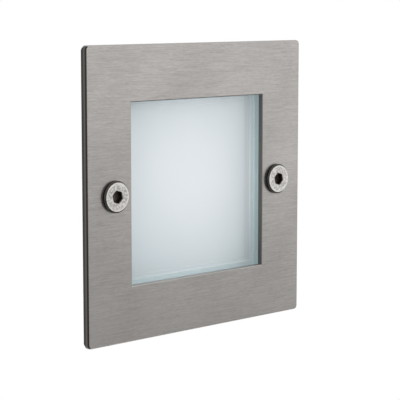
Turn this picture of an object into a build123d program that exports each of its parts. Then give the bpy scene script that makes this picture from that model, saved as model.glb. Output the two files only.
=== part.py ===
from build123d import *
import math
import os

# Recessed brick light: a stainless faceplate with a glazed lamp unit behind it, screwed to a wall box.
# X runs right, the light faces -Y and Z is up. The origin is the faceplate's centre on the wall's surface.
# All sizes are in mm.

# Faceplate and the gasket between it and the wall
PLATE = 80.0
PLATE_T = 1.5
PLATE_CORNER = 1.2
PLATE_EDGE = 0.5
WINDOW = 49.4
WINDOW_EDGE = 0.3
WALL_GASKET_T = 0.8
WALL_GASKET_OUT = 79.4
WALL_GASKET_IN = 72.0

# Glazing, from the faceplate backwards
GLASS = 54.0
GLASS_T = 4.0
GLASS_CORNER = 1.0
FRONT_SEAL_T = 0.2
FRONT_SEAL_IN = 50.4
REAR_GASKET_T = 0.8
REAR_GASKET_IN = 51.2
DIFFUSER = 48.0
DIFFUSER_T = 1.5
DIFFUSER_GAP = 0.1
DIFFUSER_PLAY = 0.2

# Lamp housing: a flanged tub with four corner lugs
TUB = 51.0
TUB_IN = 47.2
TUB_CORNER = 2.0
TUB_BACK = 34.0
TUB_FLOOR_T = 2.0
FLANGE_T = 2.0
LUG_T = 3.0
LUG_R = 2.8
LUG_AT = 29.5

# Weld studs that hold the housing to the faceplate, M3
STUD_R = 1.5
STUD_HOLE_R = 1.6
STUD_END = 12.5
STUD_WASHER_R = 2.9
STUD_WASHER_T = 0.5
STUD_NUT_FLATS = 5.5
STUD_NUT_T = 2.4
STUD_NUT_TURN = 15.0

# Light source
REFLECTOR_D = 10.0
REFLECTOR_FRONT = 46.8
REFLECTOR_BACK = 34.0
REFLECTOR_T = 0.8
LED_BOARD = 45.6
BOARD_T = 1.6
LED = 3.0
LED_T = 0.8
LED_PITCH = 10.0
LED_ROWS = 3
LED_POST_AT = 20.5
POST_R = 2.4
SCREW_PILOT_R = 1.3
SMALL_SCREW_R = 1.25
SMALL_HEAD_R = 2.2
SMALL_HEAD_T = 1.4
SMALL_SCREW_L = 6.0

# Driver board and the parts on it
DRIVER_X = 34.0
DRIVER_Z = 45.0
DRIVER_FRONT = 27.0
DRIVER_POST_X = 13.0
DRIVER_POST_Z = 19.0
FILM_X = 13.0
FILM_Z = 6.0
FILM_D = 9.0
FILM_CORNER = 0.8
FILM_AT = (-8.0, -8.0)
CAN_R = 4.0
CAN_L = 12.0
CAN_AT = (9.0, -9.0)
CHOKE_R = 4.0
CHOKE_D = 7.5
CHOKE_AT = (-9.0, 4.0)
RECTIFIER_X = 6.5
RECTIFIER_Z = 5.0
RECTIFIER_D = 2.5
RECTIFIER_AT = (8.0, 1.0)
CHIP_X = 5.0
CHIP_Z = 4.0
CHIP_D = 1.6
CHIP_AT = (8.0, 10.0)
FUSE_R = 1.6
FUSE_L = 8.0
FUSE_AT = (-4.0, -18.0)
LINK_PIN_R = 0.4
LINK_PIN_X = 2.5
LINK_PIN_Z = 20.5
LINK_PIN_PROUD = 0.5

# Lead grommet and terminal block on the back of the housing
LEAD_R = 0.7
LEAD_X = 1.1
LEAD_GROMMET_X = -1.1
LEAD_Z = 17.0
LIVE_LEAD_DROP = 5.0
LEAD_GROMMET_BORE = 2.0
LEAD_GROMMET_R = 3.0
LEAD_GROMMET_LIP_R = 4.2
GROMMET_LIP_T = 0.8
BLOCK_X = 23.2
BLOCK_Z = 14.0
BLOCK_D = 12.0
BLOCK_CORNER = 0.8
POLE_PITCH = 7.5
EAR_X = 34.0
EAR_Z = 6.4
EAR_T = 3.0
EAR_HOLE_X = 14.3
LEAD_ENTRY_Y = 41.0
WIRE_ENTRY_Y = 38.0
WIRE_ENTRY_R = 1.4
BUTTON = 4.0
BUTTON_PLAY = 0.1
BUTTON_L = 5.2
BUTTON_CHAMFER = 0.4
BUTTON_PROUD = 1.2
BUTTON_TRAVEL = 1.0
BUTTON_Z = -2.5
CONTACT_X = 3.2
CONTACT_Z = 10.0
CONTACT_T = 0.8
CONTACT_PLAY = 0.2
CONTACT_LEAF_D = 4.0

# Earth tag on the upper right stud
TAG_T = 0.8
TAG_BARREL_R = 1.15
TAG_BARREL_X = 25.2
TAG_BARREL_END = 13.5

# Wall box set into the masonry
BOX = 71.0
BOX_FRONT = 0.3
BOX_BACK = 60.0
BOX_WALL = 2.0
BOX_BACK_T = 3.0
BOX_CORNER = 3.0
KEY_RIB_W = 2.0
KEY_RIB_H = 1.0
KEY_RIB_AT = 22.0
KEY_RIB_FRONT = 6.0
KEY_RIB_BACK = 54.0
BOSS_R = 4.25
BOSS_FRONT = 7.5
BOSS_BACK = 26.0
INSERT_R = 3.3
INSERT_BORE_R = 2.55
INSERT_L = 10.0
TIP_HOLE_R = 2.8
TIP_HOLE_END = 22.0
FIXING_R = 2.25
FIXING_X = 22.0
KNOCKOUT_R = 10.0
KNOCKOUT_GROOVE = 0.8

# Cable grommets in the back and bottom of the wall box
CABLE_BORE_R = 4.0
CABLE_GROMMET_R = 6.0
CABLE_LIP_R = 8.2
CABLE_LIP_T = 1.0
CABLE_SEAT_R = 8.6
CABLE_SEAT_D = 1.1
REAR_CABLE_Z = -18.0
BOTTOM_CABLE_Y = 44.0

# Faceplate screws, M5 by 20 with a very low head and a 3 mm hexagon socket
SCREW_X = 30.5
SCREW_R = 2.5
SCREW_HOLE_R = 2.75
SCREW_L = 20.0
HEAD_R = 4.3
HEAD_T = 0.9
HEAD_CHAMFER = 0.3
TIP_CHAMFER = 0.6
SOCKET_FLATS = 3.0
SOCKET_D = 2.0
SOCKET_TURN = 13.0
WASHER_T = 0.25
WASHER_HOLE_R = 2.55

# Planes across the light, worked out from the front to the back
plate_back = -WALL_GASKET_T
plate_front = plate_back - PLATE_T
glass_front = plate_back + FRONT_SEAL_T
glass_back = glass_front + GLASS_T
flange_front = glass_back + REAR_GASKET_T
flange_back = flange_front + FLANGE_T
lug_back = flange_front + LUG_T
diffuser_front = glass_back + DIFFUSER_GAP
diffuser_back = diffuser_front + DIFFUSER_T
led_front = diffuser_back + REFLECTOR_D
led_back = led_front + BOARD_T
driver_back = DRIVER_FRONT + BOARD_T
tub_floor = TUB_BACK - TUB_FLOOR_T
block_back = TUB_BACK + BLOCK_D
contact_front = TUB_BACK + CONTACT_T
contact_back = contact_front + CONTACT_T + CONTACT_LEAF_D
box_floor = BOX_BACK - BOX_BACK_T
box_in = BOX - 2 * BOX_WALL


def facing(y):
    """The plane at depth y that looks out of the wall, with X to the right and Z up."""
    return Plane(origin=(0, y, 0), x_dir=(1, 0, 0), z_dir=(0, -1, 0))


def slab(width, height, front, back, corner=0.0, x=0.0, z=0.0):
    """A block across the wall from depth front to depth back, with its long corners rounded."""
    outline = RectangleRounded(width, height, corner) if corner else Rectangle(width, height)
    return extrude(facing(back) * Pos(x, z) * outline, amount=back - front)


def rod(radius, front, back, x=0.0, z=0.0):
    """A round bar along Y."""
    return extrude(facing(back) * Pos(x, z) * Circle(radius), amount=back - front)


def hexagon(flats, front, back, turn, x=0.0, z=0.0):
    """A six-sided bar along Y, with one corner turned from straight up."""
    outline = RegularPolygon(flats / math.sqrt(3), 6, rotation=90 + turn)
    return extrude(facing(back) * Pos(x, z) * outline, amount=back - front)


def upright(radius, low, high, x, y):
    """A round bar along Z."""
    return extrude(Plane(origin=(x, y, low)) * Circle(radius), amount=high - low)


def square_frame(outer, inner, front, back, corner):
    """A flat square frame, as gaskets and seals are cut."""
    return slab(outer, outer, front, back, corner) - slab(inner, inner, front, back)


def corners(distance):
    """The four places at the same distance left or right of the centre and above or below it."""
    return [(x, z) for x in (-distance, distance) for z in (-distance, distance)]


def save(name, *solids):
    """Writes one piece, or one group of like pieces, under its name."""
    shape = solids[0] if len(solids) == 1 else Compound(children=list(solids))
    export_step(shape, f"parts/{name}.step")


def small_screw(seat, x, z):
    """A pan-head screw for plastic: the head stands in front of depth seat, the shank runs behind it."""
    head = rod(SMALL_HEAD_R, seat - SMALL_HEAD_T, seat, x, z)
    return head + rod(SMALL_SCREW_R, seat, seat + SMALL_SCREW_L, x, z)


def lead(*points):
    """An insulated wire through the points. Each bend is as large as the two runs beside it allow."""
    stops = [Vector(*p) for p in points]
    radii = []
    for before, here, after in zip(stops, stops[1:], stops[2:]):
        run_in = here - before
        run_out = after - here
        half_turn = math.radians(run_in.get_angle(run_out)) / 2
        radii.append(0.45 * min(run_in.length, run_out.length) / math.tan(half_turn))
    path = FilletPolyline(*stops, radius=radii)
    wire = sweep(Plane(origin=path @ 0, z_dir=path % 0) * Circle(LEAD_R), path=path)
    expected = math.pi * LEAD_R**2 * path.length
    print("lead bends", [round(r, 1) for r in radii], "volume against section", wire.volume / expected)
    return wire


def faceplate():
    """Stainless plate with a square window and two screw holes, rounded along its outer and window edges."""
    plate = slab(PLATE, PLATE, plate_front, plate_back, PLATE_CORNER)
    plate -= slab(WINDOW, WINDOW, plate_front, plate_back)
    rim = plate.faces().sort_by(Axis.Y)[0].outer_wire()
    plate = fillet(rim.edges(), PLATE_EDGE)
    opening = plate.faces().sort_by(Axis.Y)[0].inner_wires()[0]
    plate = fillet(opening.edges(), WINDOW_EDGE)
    for x in (-SCREW_X, SCREW_X):
        plate -= rod(SCREW_HOLE_R, plate_front, plate_back, x)
    return plate


def lamp_housing():
    """Moulded tub. Its flange presses the glass to the faceplate, and inside it stand the boards' posts."""
    body = slab(GLASS, GLASS, flange_front, flange_back, GLASS_CORNER)
    body += slab(TUB, TUB, flange_front, TUB_BACK, TUB_CORNER)
    web = LUG_AT * math.sqrt(2) / 4
    for x, z in corners(LUG_AT):
        tilt = math.degrees(math.atan2(z, x))
        place = facing(lug_back) * Rotation(0, 0, tilt) * Pos(LUG_AT * math.sqrt(2) - web / 2, 0)
        body += extrude(place * Rectangle(web, 2 * LUG_R), amount=LUG_T)
        body += rod(LUG_R, flange_front, lug_back, x, z)
    seat = DIFFUSER + 2 * DIFFUSER_PLAY
    body -= slab(seat, seat, flange_front, diffuser_back)
    body -= slab(TUB_IN, TUB_IN, flange_front, tub_floor)
    for x, z in corners(LED_POST_AT):
        body += rod(POST_R, led_back, tub_floor, x, z)
        body -= rod(SCREW_PILOT_R, led_back, led_front + SMALL_SCREW_L + SMALL_SCREW_R, x, z)
    for side in (-1, 1):
        x, z = side * DRIVER_POST_X, -side * DRIVER_POST_Z
        body += rod(POST_R, driver_back, tub_floor, x, z)
        body -= rod(SCREW_PILOT_R, driver_back, DRIVER_FRONT + SMALL_SCREW_L, x, z)
        body += rod(POST_R, tub_floor - EAR_T, tub_floor, side * EAR_HOLE_X)
        body -= rod(SCREW_PILOT_R, TUB_BACK + EAR_T - SMALL_SCREW_L, TUB_BACK, side * EAR_HOLE_X)
    for x, z in corners(LUG_AT):
        body -= rod(STUD_HOLE_R, flange_front, lug_back, x, z)
    return body - rod(LEAD_GROMMET_R, tub_floor, TUB_BACK, LEAD_GROMMET_X, LEAD_Z)


def reflector():
    """Thin white funnel that widens from the light source to the diffuser."""
    def funnel(narrowing):
        mouth = facing(diffuser_back) * Rectangle(REFLECTOR_FRONT - narrowing, REFLECTOR_FRONT - narrowing)
        throat = facing(led_front) * Rectangle(REFLECTOR_BACK - narrowing, REFLECTOR_BACK - narrowing)
        return loft([mouth, throat])
    return funnel(0) - funnel(2 * REFLECTOR_T)


def led_board():
    """Light source board with four corner holes and two holes for the link pins."""
    board = slab(LED_BOARD, LED_BOARD, led_front, led_back, TUB_CORNER)
    for x, z in corners(LED_POST_AT):
        board -= rod(SCREW_PILOT_R, led_front, led_back, x, z)
    for x in (-LINK_PIN_X, LINK_PIN_X):
        board -= rod(LINK_PIN_R, led_front, led_back, x, LINK_PIN_Z)
    return board


def driver_board():
    """Circuit board of the mains driver."""
    board = slab(DRIVER_X, DRIVER_Z, DRIVER_FRONT, driver_back)
    for side in (-1, 1):
        board -= rod(SCREW_PILOT_R, DRIVER_FRONT, driver_back, side * DRIVER_POST_X, -side * DRIVER_POST_Z)
        board -= rod(LINK_PIN_R, DRIVER_FRONT, driver_back, side * LINK_PIN_X, LINK_PIN_Z)
    return board


def terminal_block():
    """Three-pole push-in terminal block, screwed by two ears to the housing's back."""
    block = slab(BLOCK_X, BLOCK_Z, TUB_BACK, block_back)
    block = fillet(block.edges().filter_by(Axis.Y), BLOCK_CORNER)
    block += slab(EAR_X, EAR_Z, TUB_BACK, TUB_BACK + EAR_T, EAR_T)
    for side in (-1, 1):
        block -= rod(SCREW_PILOT_R, TUB_BACK, TUB_BACK + EAR_T, side * EAR_HOLE_X)
    pocket = BUTTON + 2 * BUTTON_PLAY
    pocket_front = block_back + BUTTON_PROUD - BUTTON_L - BUTTON_TRAVEL - BUTTON_PLAY
    for x in poles():
        block -= slab(pocket, pocket, pocket_front, block_back, x=x, z=BUTTON_Z)
        block -= upright(WIRE_ENTRY_R, -BLOCK_Z / 2, 0, x, WIRE_ENTRY_Y)
        chamber_x = CONTACT_X + CONTACT_PLAY
        chamber_z = CONTACT_Z + CONTACT_PLAY
        block -= slab(chamber_x, chamber_z, contact_front, contact_back + CONTACT_PLAY, x=x)
    return block


def component(width, height, depth, x, z, corner=0.0):
    """A cased part that stands on the front of the driver board."""
    return slab(width, height, DRIVER_FRONT - depth, DRIVER_FRONT, corner, x, z)


def poles():
    """Where the live, neutral and earth poles are, from left to right."""
    return [-POLE_PITCH, 0.0, POLE_PITCH]


def contact(x):
    """Spring clip of one pole: a foot strip with an upright leaf that grips the wire."""
    strip = slab(CONTACT_X, CONTACT_Z, contact_front, contact_front + CONTACT_T, x=x)
    leaf_z = CONTACT_Z / 2 - CONTACT_T / 2
    return strip + slab(CONTACT_X, CONTACT_T, contact_front, contact_back, x=x, z=leaf_z)


def wall_box():
    """Moulded box with keying ribs outside and two bosses inside for the faceplate screws."""
    box = slab(BOX, BOX, BOX_FRONT, BOX_BACK, BOX_CORNER)
    rib_span = BOX + 2 * KEY_RIB_H
    for at in (-KEY_RIB_AT, KEY_RIB_AT):
        box += slab(KEY_RIB_W, rib_span, KEY_RIB_FRONT, KEY_RIB_BACK, x=at)
        box += slab(rib_span, KEY_RIB_W, KEY_RIB_FRONT, KEY_RIB_BACK, z=at)
    box -= slab(box_in, box_in, BOX_FRONT, box_floor, BOX_CORNER - BOX_WALL)
    for x in (-SCREW_X, SCREW_X):
        box += rod(BOSS_R, BOSS_FRONT, BOSS_BACK, x)
        box -= rod(INSERT_R, BOSS_FRONT, BOSS_FRONT + INSERT_L, x)
        box -= rod(TIP_HOLE_R, BOSS_FRONT, TIP_HOLE_END, x)
    for x in (-FIXING_X, FIXING_X):
        box -= rod(FIXING_R, box_floor, BOX_BACK, x)
    box -= rod(CABLE_GROMMET_R, box_floor, BOX_BACK, 0, REAR_CABLE_Z)
    box -= rod(CABLE_SEAT_R, BOX_BACK - CABLE_SEAT_D, BOX_BACK, 0, REAR_CABLE_Z)
    box -= upright(CABLE_GROMMET_R, -BOX / 2, -box_in / 2, 0, BOTTOM_CABLE_Y)
    top = BOX / 2
    knockout = upright(KNOCKOUT_R, top - KNOCKOUT_GROOVE, top, 0, BOTTOM_CABLE_Y)
    knockout -= upright(KNOCKOUT_R - KNOCKOUT_GROOVE, top - KNOCKOUT_GROOVE, top, 0, BOTTOM_CABLE_Y)
    return box - knockout


def cable_grommet(wall):
    """Rubber ring that lines a hole in a wall: lip, neck, lip. It stands on its inner lip and points up."""
    outer_lip = CABLE_LIP_T + wall
    length = outer_lip + CABLE_LIP_T
    ring = upright(CABLE_LIP_R, 0, CABLE_LIP_T, 0, 0)
    ring += upright(CABLE_GROMMET_R, CABLE_LIP_T, outer_lip, 0, 0)
    ring += upright(CABLE_LIP_R, outer_lip, length, 0, 0)
    return ring - upright(CABLE_BORE_R, 0, length, 0, 0)


def faceplate_screw(x):
    """Low-head socket screw with a plain shank of the thread's outer size."""
    seat = plate_front - WASHER_T
    head = rod(HEAD_R, seat - HEAD_T, seat, x)
    head = chamfer(head.faces().sort_by(Axis.Y)[0].edges(), HEAD_CHAMFER)
    shank = rod(SCREW_R, seat, seat + SCREW_L, x)
    shank = chamfer(shank.faces().sort_by(Axis.Y)[-1].edges(), TIP_CHAMFER)
    face = seat - HEAD_T
    return head + shank - hexagon(SOCKET_FLATS, face, face + SOCKET_D, SOCKET_TURN, x)


os.makedirs("parts", exist_ok=True)

# Faceplate and glazing
save("faceplate", faceplate())
save("wall_gasket", square_frame(WALL_GASKET_OUT, WALL_GASKET_IN, plate_back, 0.0, PLATE_CORNER))
save("front_glass_seal", square_frame(GLASS, FRONT_SEAL_IN, plate_back, glass_front, GLASS_CORNER))
save("glass", slab(GLASS, GLASS, glass_front, glass_back, GLASS_CORNER))
save("rear_glass_gasket", square_frame(GLASS, REAR_GASKET_IN, glass_back, flange_front, GLASS_CORNER))
save("diffuser", slab(DIFFUSER, DIFFUSER, diffuser_front, diffuser_back))

# Lamp housing and its fixings
save("lamp_housing", lamp_housing())
save("weld_studs", *[rod(STUD_R, plate_back, STUD_END, x, z) for x, z in corners(LUG_AT)])
washers = []
nuts = []
for x, z in corners(LUG_AT):
    nut_front = lug_back + STUD_WASHER_T
    washer = rod(STUD_WASHER_R, lug_back, nut_front, x, z)
    washers.append(washer - rod(STUD_HOLE_R, lug_back, nut_front, x, z))
    if x > 0 and z > 0:
        nut_front += TAG_T
    nut = hexagon(STUD_NUT_FLATS, nut_front, nut_front + STUD_NUT_T, STUD_NUT_TURN, x, z)
    nuts.append(nut - rod(STUD_R, nut_front, nut_front + STUD_NUT_T, x, z))
save("stud_washers", *washers)
save("stud_nuts", *nuts)

# Light source
save("reflector", reflector())
save("led_board", led_board())
steps = [(n - (LED_ROWS - 1) / 2) * LED_PITCH for n in range(LED_ROWS)]
save("leds", *[slab(LED, LED, led_front - LED_T, led_front, x=x, z=z) for x in steps for z in steps])
save("led_board_screws", *[small_screw(led_front, x, z) for x, z in corners(LED_POST_AT)])

# Driver: every component stands on the front of its board
save("driver_board", driver_board())
posts = [(side * DRIVER_POST_X, -side * DRIVER_POST_Z) for side in (-1, 1)]
save("driver_board_screws", *[small_screw(DRIVER_FRONT, x, z) for x, z in posts])
save("film_capacitor", component(FILM_X, FILM_Z, FILM_D, *FILM_AT, corner=FILM_CORNER))
can_x, can_z = CAN_AT
can = Plane(origin=(can_x - CAN_L / 2, DRIVER_FRONT - CAN_R, can_z), z_dir=(1, 0, 0)) * Circle(CAN_R)
save("smoothing_capacitor", extrude(can, amount=CAN_L))
save("choke", rod(CHOKE_R, DRIVER_FRONT - CHOKE_D, DRIVER_FRONT, *CHOKE_AT))
save("bridge_rectifier", component(RECTIFIER_X, RECTIFIER_Z, RECTIFIER_D, *RECTIFIER_AT))
save("driver_chip", component(CHIP_X, CHIP_Z, CHIP_D, *CHIP_AT))
fuse_x, fuse_z = FUSE_AT
fuse_y = DRIVER_FRONT - FUSE_R
save("fuse_resistor", upright(FUSE_R, fuse_z - FUSE_L / 2, fuse_z + FUSE_L / 2, fuse_x, fuse_y))
pins = [rod(LINK_PIN_R, led_front - LINK_PIN_PROUD, driver_back + LINK_PIN_PROUD, x, LINK_PIN_Z)
        for x in (-LINK_PIN_X, LINK_PIN_X)]
save("link_pins", *pins)

# Terminal block and leads
lip_front = tub_floor - GROMMET_LIP_T
lip_back = TUB_BACK + GROMMET_LIP_T
grommet = rod(LEAD_GROMMET_R, lip_front, lip_back, LEAD_GROMMET_X, LEAD_Z)
grommet += rod(LEAD_GROMMET_LIP_R, lip_front, tub_floor, LEAD_GROMMET_X, LEAD_Z)
grommet += rod(LEAD_GROMMET_LIP_R, TUB_BACK, lip_back, LEAD_GROMMET_X, LEAD_Z)
save("lead_grommet", grommet - rod(LEAD_GROMMET_BORE, lip_front, lip_back, LEAD_GROMMET_X, LEAD_Z))
save("terminal_block", terminal_block())
save("terminal_contacts", *[contact(x) for x in poles()])
ear_screws = []
for side in (-1, 1):
    seat = TUB_BACK + EAR_T
    head = rod(SMALL_HEAD_R, seat, seat + SMALL_HEAD_T, side * EAR_HOLE_X)
    ear_screws.append(head + rod(SMALL_SCREW_R, seat - SMALL_SCREW_L, seat, side * EAR_HOLE_X))
save("terminal_block_screws", *ear_screws)
button_back = block_back + BUTTON_PROUD
for name, x in zip(("live", "neutral", "earth"), poles()):
    button = slab(BUTTON, BUTTON, button_back - BUTTON_L, button_back, x=x, z=BUTTON_Z)
    save(f"{name}_release_button", chamfer(button.faces().sort_by(Axis.Y)[-1].edges(), BUTTON_CHAMFER))
block_top = BLOCK_Z / 2
live_x = LEAD_GROMMET_X - LEAD_X
neutral_x = LEAD_GROMMET_X + LEAD_X
live_route = [
    (live_x, driver_back, LEAD_Z),
    (live_x, LEAD_ENTRY_Y, LEAD_Z),
    (-POLE_PITCH, LEAD_ENTRY_Y, LEAD_Z - LIVE_LEAD_DROP),
    (-POLE_PITCH, LEAD_ENTRY_Y, block_top),
]
neutral_route = [
    (neutral_x, driver_back, LEAD_Z),
    (neutral_x, LEAD_ENTRY_Y, LEAD_Z),
    (neutral_x, LEAD_ENTRY_Y, block_top),
]
earth_route = [
    (POLE_PITCH, LEAD_ENTRY_Y, block_top),
    (POLE_PITCH, LEAD_ENTRY_Y, LEAD_Z),
    (12.0, 36.0, LUG_AT),
    (TAG_BARREL_X, 24.0, LUG_AT),
    (TAG_BARREL_X, TAG_BARREL_END, LUG_AT),
]
save("live_lead", lead(*live_route))
save("neutral_lead", lead(*neutral_route))
save("earth_lead", lead(*earth_route))

# Earth tag, clamped on the upper right stud under its nut
tag_front = lug_back + STUD_WASHER_T
tag_back = tag_front + TAG_T
tag = rod(STUD_WASHER_R, tag_front, tag_back, LUG_AT, LUG_AT)
neck_x = (LUG_AT + TAG_BARREL_X) / 2
tag += slab(LUG_AT - TAG_BARREL_X, 2 * TAG_BARREL_R, tag_front, tag_back, x=neck_x, z=LUG_AT)
tag += rod(TAG_BARREL_R, tag_front, TAG_BARREL_END, TAG_BARREL_X, LUG_AT)
save("earth_tag", tag - rod(STUD_HOLE_R, tag_front, tag_back, LUG_AT, LUG_AT))

# Wall box
save("wall_box", wall_box())
insert_back = BOSS_FRONT + INSERT_L
inserts = []
for x in (-SCREW_X, SCREW_X):
    insert = rod(INSERT_R, BOSS_FRONT, insert_back, x)
    inserts.append(insert - rod(INSERT_BORE_R, BOSS_FRONT, insert_back, x))
save("threaded_inserts", *inserts)
rear_place = Plane(origin=(0, box_floor - CABLE_LIP_T, REAR_CABLE_Z), z_dir=(0, 1, 0))
save("rear_grommet", rear_place * cable_grommet(BOX_BACK_T - CABLE_SEAT_D))
bottom_place = Plane(origin=(0, BOTTOM_CABLE_Y, CABLE_LIP_T - box_in / 2), z_dir=(0, 0, -1))
save("bottom_grommet", bottom_place * cable_grommet(BOX_WALL))

# Faceplate screws and their sealing washers
for name, x in (("left", -SCREW_X), ("right", SCREW_X)):
    save(f"{name}_screw", faceplate_screw(x))
    washer = rod(HEAD_R, plate_front - WASHER_T, plate_front, x)
    save(f"{name}_sealing_washer", washer - rod(WASHER_HOLE_R, plate_front - WASHER_T, plate_front, x))
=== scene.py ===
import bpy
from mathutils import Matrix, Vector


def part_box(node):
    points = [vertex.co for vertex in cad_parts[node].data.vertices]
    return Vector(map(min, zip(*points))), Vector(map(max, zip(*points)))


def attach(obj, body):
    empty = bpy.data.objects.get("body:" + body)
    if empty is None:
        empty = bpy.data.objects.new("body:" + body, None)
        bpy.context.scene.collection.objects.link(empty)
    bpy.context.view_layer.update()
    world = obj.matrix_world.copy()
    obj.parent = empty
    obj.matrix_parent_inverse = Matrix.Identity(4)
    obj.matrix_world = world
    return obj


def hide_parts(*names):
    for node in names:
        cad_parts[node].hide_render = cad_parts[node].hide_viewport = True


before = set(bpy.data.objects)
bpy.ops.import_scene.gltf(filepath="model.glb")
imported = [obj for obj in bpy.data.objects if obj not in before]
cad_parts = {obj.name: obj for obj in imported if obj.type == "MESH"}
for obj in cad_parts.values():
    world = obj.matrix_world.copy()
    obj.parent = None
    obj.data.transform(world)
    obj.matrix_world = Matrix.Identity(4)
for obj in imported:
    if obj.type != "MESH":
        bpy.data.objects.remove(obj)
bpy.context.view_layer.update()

import math

import bmesh
import bpy
import numpy as np
from mathutils import Vector

# Wall box: the black box that is mortared into the brickwork and stays there.
# Polypropylene, moulded in one piece with keying ribs outside and two screw bosses inside.
# The mould's spark finish leaves an even grain with broad, soft highlights.
MM = 0.001
DRIFT_MM = 9
GRAIN_MM = 0.8
GRAIN_DEPTH_MM = 0.03
GLOSS_SPREAD = 0.12


def linear(colour):
    """Linear RGBA of an sRGB hex colour: (c + 0.055) / 1.055 to the power 2.4, or c / 12.92 near black."""
    c = np.array([int(colour[i:i + 2], 16) for i in (1, 3, 5)]) / 255
    rgb = np.where(c <= 0.04045, c / 12.92, ((c + 0.055) / 1.055) ** 2.4)
    return (*rgb.tolist(), 1.0)


def add(tree, kind, inputs=None, **settings):
    """Adds a shader node with its settings. Each input is a value, or an output to link."""
    node = tree.nodes.new("ShaderNode" + kind)
    for name, value in settings.items():
        setattr(node, name, value)
    for name, value in (inputs or {}).items():
        if isinstance(value, bpy.types.NodeSocket):
            tree.links.new(value, node.inputs[name])
        else:
            node.inputs[name].default_value = value
    return node


def begin(name):
    """A new material with an empty tree, and the object coordinates that its patterns lie on."""
    material = bpy.data.materials.new(name)
    material.use_nodes = True
    material.node_tree.nodes.clear()
    coordinates = add(material.node_tree, "TexCoord")
    return material, material.node_tree, coordinates.outputs["Object"]


def moulded(name, tone, shade, roughness, grain_mm=GRAIN_MM, depth_mm=GRAIN_DEPTH_MM):
    """Moulded surface: a slow drift between two tones, and an even grain in relief and gloss. The grain is
    drawn coarser than a real one, so that it shows."""
    material, tree, place = begin(name)
    drift = add(tree, "TexNoise", {"Vector": place, "Scale": 1 / (DRIFT_MM * MM), "Detail": 3})
    grain = add(tree, "TexNoise", {"Vector": place, "Scale": 1 / (grain_mm * MM), "Detail": 2})
    colour = add(tree, "MixRGB", {
        "Fac": drift.outputs["Fac"], "Color1": linear(tone), "Color2": linear(shade)})
    gloss = add(tree, "MapRange", {
        "Value": grain.outputs["Fac"],
        "To Min": roughness - GLOSS_SPREAD,
        "To Max": roughness + GLOSS_SPREAD})
    relief = add(tree, "Bump", {"Height": grain.outputs["Fac"], "Distance": depth_mm * MM})
    shader = add(tree, "BsdfPrincipled", {
        "Base Color": colour.outputs["Color"],
        "Roughness": gloss.outputs["Result"],
        "Normal": relief.outputs["Normal"]})
    add(tree, "OutputMaterial", {"Surface": shader.outputs["BSDF"]})
    return material


def dress(material, *nodes):
    """Gives pieces of the frame their finish."""
    for node in nodes:
        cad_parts[node].data.materials.clear()
        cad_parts[node].data.materials.append(material)


dress(moulded("spark_finished_polypropylene", "#1e1f21", "#292a2d", 0.5), "wall_box")

# Threaded inserts: two brass bushes melted into the box's bosses, which take the faceplate screws.
# Turned from bar, with two knurled bands that grip the plastic and an M5 thread inside.
# Turned brass is bright and yellow, with faint clouds in its tone.
INSERT_KNURLS = 24
INSERT_KNURL = 0.15 * MM
INSERT_GROOVE = 0.4 * MM
INSERT_BANDS = ((0.1, 0.42), (0.58, 0.9))
INSERT_BORE = 2.55 * MM
INSERT_THREAD = 0.12 * MM
M5_PITCH = 0.8 * MM
THREAD_STEPS = 8
THREAD_SLOPE = 1.3
THREAD_CREST = 0.15
CLOUD_MM = 2.5


def around(count, start=0.0):
    """Evenly spaced angles of one turn, from straight up towards the right as seen from the front."""
    return start + np.linspace(0, 2 * math.pi, count, endpoint=False)


def rings_about(x, z, radius, depth, angle):
    """Rings round an axis along Y: each point lies radius out from the axis, turned by angle, at depth."""
    radius, depth, angle = np.broadcast_arrays(radius, depth, angle)
    return np.stack([x + radius * np.sin(angle), depth, z + radius * np.cos(angle)], axis=-1)


def turned(x, z, profile, angle):
    """Rings of a profile of (radius, depth) pairs swung round an axis along Y."""
    radius, depth = np.array(profile).T
    return rings_about(x, z, radius[:, None], depth[:, None], angle)


def screw_thread(depth, angle, pitch):
    """A right-hand thread's fall below its crest, 0 to 1: a triangle wave of depth over pitch, less the turn,
    with its crests and roots cut flat."""
    wave = (depth / pitch - angle / (2 * math.pi)) % 1.0
    return np.clip(THREAD_SLOPE * (1 - np.abs(2 * wave - 1)) - THREAD_CREST, 0, 1)


def skin(name, shells, material, ring_shaped=False, sharp=32):
    """One piece of closed shells. Each shell is an array of rings, joined by quads round and along. Flat caps
    close its first and last ring, or if it is ring-shaped the last ring joins the first. Edges that turn by
    more than sharp degrees stay hard."""
    points = []
    faces = []
    for rings in shells:
        index = len(points) + np.arange(rings.shape[0] * rings.shape[1]).reshape(rings.shape[:2])
        rows = np.concatenate([index, index[:1]]) if ring_shaped else index
        beside = np.roll(rows, -1, axis=1)
        quads = np.stack([rows[:-1], beside[:-1], beside[1:], rows[1:]], axis=-1)
        faces += quads.reshape(-1, 4).tolist()
        if not ring_shaped:
            faces += [index[0].tolist(), index[-1].tolist()]
        points += rings.reshape(-1, 3).tolist()
    mesh = bpy.data.meshes.new(name)
    mesh.from_pydata(points, [], faces)
    shape = bmesh.new()
    shape.from_mesh(mesh)
    bmesh.ops.recalc_face_normals(shape, faces=shape.faces)
    shape.to_mesh(mesh)
    shape.free()
    mesh.polygons.foreach_set("use_smooth", np.ones(len(mesh.polygons), dtype=bool))
    mesh.set_sharp_from_angle(angle=math.radians(sharp))
    mesh.materials.append(material)
    piece = bpy.data.objects.new(name, mesh)
    bpy.context.scene.collection.objects.link(piece)
    return piece


def stands_for(piece, body, slot, *nodes):
    """Puts a piece in the place of nodes of the frame."""
    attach(piece, body)
    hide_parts(*nodes)


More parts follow.
